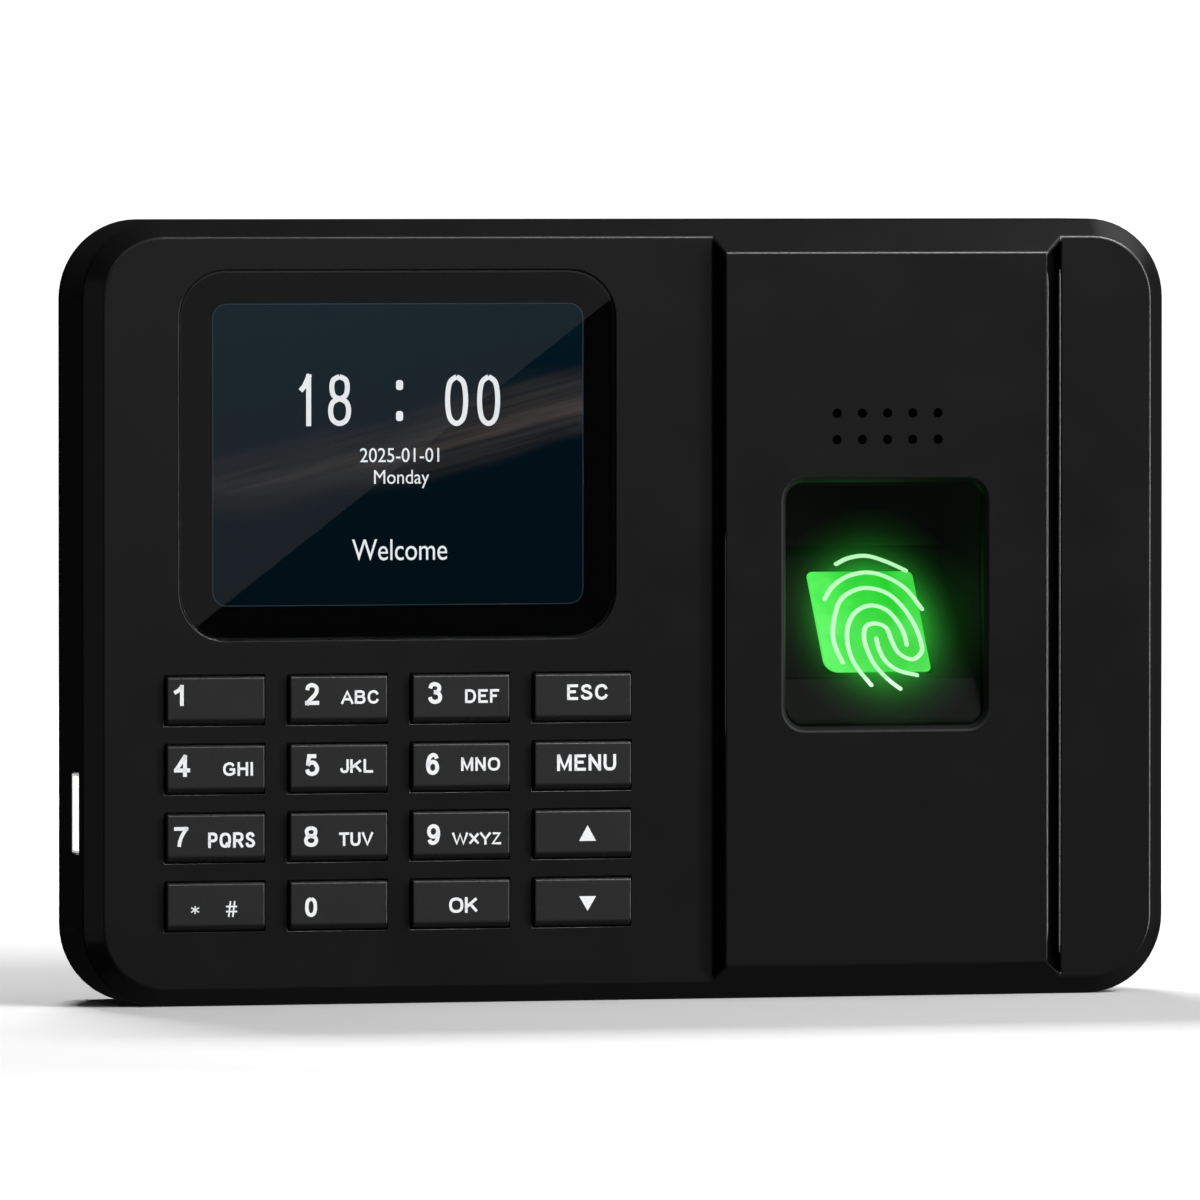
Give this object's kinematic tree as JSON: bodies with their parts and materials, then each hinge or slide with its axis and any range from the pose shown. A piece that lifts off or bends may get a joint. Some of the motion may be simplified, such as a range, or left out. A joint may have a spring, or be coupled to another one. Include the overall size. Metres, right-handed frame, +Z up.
{
  "type": "fingerprint terminal",
  "caption": "Black wall or desk fingerprint terminal with a colour screen, a keypad, a recessed sloping finger reader, a speaker grille and a rear wall plate.",
  "frame": {"origin": "centre of the footprint on the surface that the terminal stands on", "axes": "+X to the right seen from the front, +Y from the front to the wall plate, +Z up"},
  "size_m": [0.187, 0.0354, 0.13],
  "materials": {
    "shell": "fine textured black ABS, satin",
    "lens": "polished acrylic lens, printed black behind its border",
    "display": "lit display glass behind the lens",
    "key": "smooth charcoal plastic with printed white marks",
    "prism": "clear optical glass lit green from inside",
    "adhesive": "thin black foam tape",
    "backlight": "white diffuser",
    "steel": "bright zinc-plated steel",
    "nickel": "bright nickel-plated steel",
    "plate": "grey zinc-coated steel sheet",
    "flex": "amber polyimide film",
    "connector": "ivory nylon",
    "board": "green solder mask",
    "chip": "black moulded resin",
    "silicone": "soft grey silicone",
    "contact": "gold-plated pads",
    "mesh": "fine black woven mesh",
    "cone": "black treated paper cone",
    "magnet": "dark sintered magnet",
    "led": "clear diode bodies",
    "red_wire": "red and black insulated leads",
    "grey_wire": "grey insulated lead"
  },
  "bodies": {
    "housing": {"front_shell": "shell", "rear_shell": "shell", "screen_lens": "lens", "lens_adhesive": "adhesive", "lcd_panel": "display", "lcd_backlight": "backlight", "lcd_frame": "steel", "lcd_ribbon": "flex", "lcd_connector": "connector", "main_board": "board", "processor": "chip", "memory_chips": "chip", "capacitors": "chip", "small_parts": "chip", "coin_cell": "steel", "coin_holder": "chip", "board_sockets": "connector", "keypad_mat": "silicone", "key_domes": "silicone", "key_contacts": "contact", "usb_shell": "nickel", "usb_tongue": "connector", "dc_jack": "chip", "dc_pin": "nickel", "power_wires": "red_wire", "speaker_mesh": "mesh", "speaker_frame": "steel", "speaker_cone": "cone", "speaker_magnet": "magnet", "speaker_wires": "mesh", "sensor_well": "shell", "sensor_window": "prism", "sensor_housing": "chip", "sensor_lens": "chip", "sensor_leds": "led", "sensor_board": "board", "sensor_cable": "grey_wire", "housing_screws": "steel", "board_screws": "steel", "sensor_screws": "steel", "wall_plate": "plate", "plate_screw": "steel"},
    "key_1": {"key_1": "key"},
    "key_2": {"key_2": "key"},
    "key_3": {"key_3": "key"},
    "key_esc": {"key_esc": "key"},
    "key_4": {"key_4": "key"},
    "key_5": {"key_5": "key"},
    "key_6": {"key_6": "key"},
    "key_menu": {"key_menu": "key"},
    "key_7": {"key_7": "key"},
    "key_8": {"key_8": "key"},
    "key_9": {"key_9": "key"},
    "key_up": {"key_up": "key"},
    "key_star_hash": {"key_star_hash": "key"},
    "key_0": {"key_0": "key"},
    "key_ok": {"key_ok": "key"},
    "key_down": {"key_down": "key"}
  },
  "joints": [
    {"name": "key_1_press", "type": "slide", "parent": "housing", "child": "key_1", "axis": [0, 1, 0], "range_m": [0, 0.0008], "stiffness_N_per_m": 1000, "deforming": ["key_domes"]},
    {"name": "key_2_press", "type": "slide", "parent": "housing", "child": "key_2", "axis": [0, 1, 0], "range_m": [0, 0.0008], "stiffness_N_per_m": 1000, "deforming": ["key_domes"]},
    {"name": "key_3_press", "type": "slide", "parent": "housing", "child": "key_3", "axis": [0, 1, 0], "range_m": [0, 0.0008], "stiffness_N_per_m": 1000, "deforming": ["key_domes"]},
    {"name": "key_esc_press", "type": "slide", "parent": "housing", "child": "key_esc", "axis": [0, 1, 0], "range_m": [0, 0.0008], "stiffness_N_per_m": 1000, "deforming": ["key_domes"]},
    {"name": "key_4_press", "type": "slide", "parent": "housing", "child": "key_4", "axis": [0, 1, 0], "range_m": [0, 0.0008], "stiffness_N_per_m": 1000, "deforming": ["key_domes"]},
    {"name": "key_5_press", "type": "slide", "parent": "housing", "child": "key_5", "axis": [0, 1, 0], "range_m": [0, 0.0008], "stiffness_N_per_m": 1000, "deforming": ["key_domes"]},
    {"name": "key_6_press", "type": "slide", "parent": "housing", "child": "key_6", "axis": [0, 1, 0], "range_m": [0, 0.0008], "stiffness_N_per_m": 1000, "deforming": ["key_domes"]},
    {"name": "key_menu_press", "type": "slide", "parent": "housing", "child": "key_menu", "axis": [0, 1, 0], "range_m": [0, 0.0008], "stiffness_N_per_m": 1000, "deforming": ["key_domes"]},
    {"name": "key_7_press", "type": "slide", "parent": "housing", "child": "key_7", "axis": [0, 1, 0], "range_m": [0, 0.0008], "stiffness_N_per_m": 1000, "deforming": ["key_domes"]},
    {"name": "key_8_press", "type": "slide", "parent": "housing", "child": "key_8", "axis": [0, 1, 0], "range_m": [0, 0.0008], "stiffness_N_per_m": 1000, "deforming": ["key_domes"]},
    {"name": "key_9_press", "type": "slide", "parent": "housing", "child": "key_9", "axis": [0, 1, 0], "range_m": [0, 0.0008], "stiffness_N_per_m": 1000, "deforming": ["key_domes"]},
    {"name": "key_up_press", "type": "slide", "parent": "housing", "child": "key_up", "axis": [0, 1, 0], "range_m": [0, 0.0008], "stiffness_N_per_m": 1000, "deforming": ["key_domes"]},
    {"name": "key_star_hash_press", "type": "slide", "parent": "housing", "child": "key_star_hash", "axis": [0, 1, 0], "range_m": [0, 0.0008], "stiffness_N_per_m": 1000, "deforming": ["key_domes"]},
    {"name": "key_0_press", "type": "slide", "parent": "housing", "child": "key_0", "axis": [0, 1, 0], "range_m": [0, 0.0008], "stiffness_N_per_m": 1000, "deforming": ["key_domes"]},
    {"name": "key_ok_press", "type": "slide", "parent": "housing", "child": "key_ok", "axis": [0, 1, 0], "range_m": [0, 0.0008], "stiffness_N_per_m": 1000, "deforming": ["key_domes"]},
    {"name": "key_down_press", "type": "slide", "parent": "housing", "child": "key_down", "axis": [0, 1, 0], "range_m": [0, 0.0008], "stiffness_N_per_m": 1000, "deforming": ["key_domes"]}
  ]
}
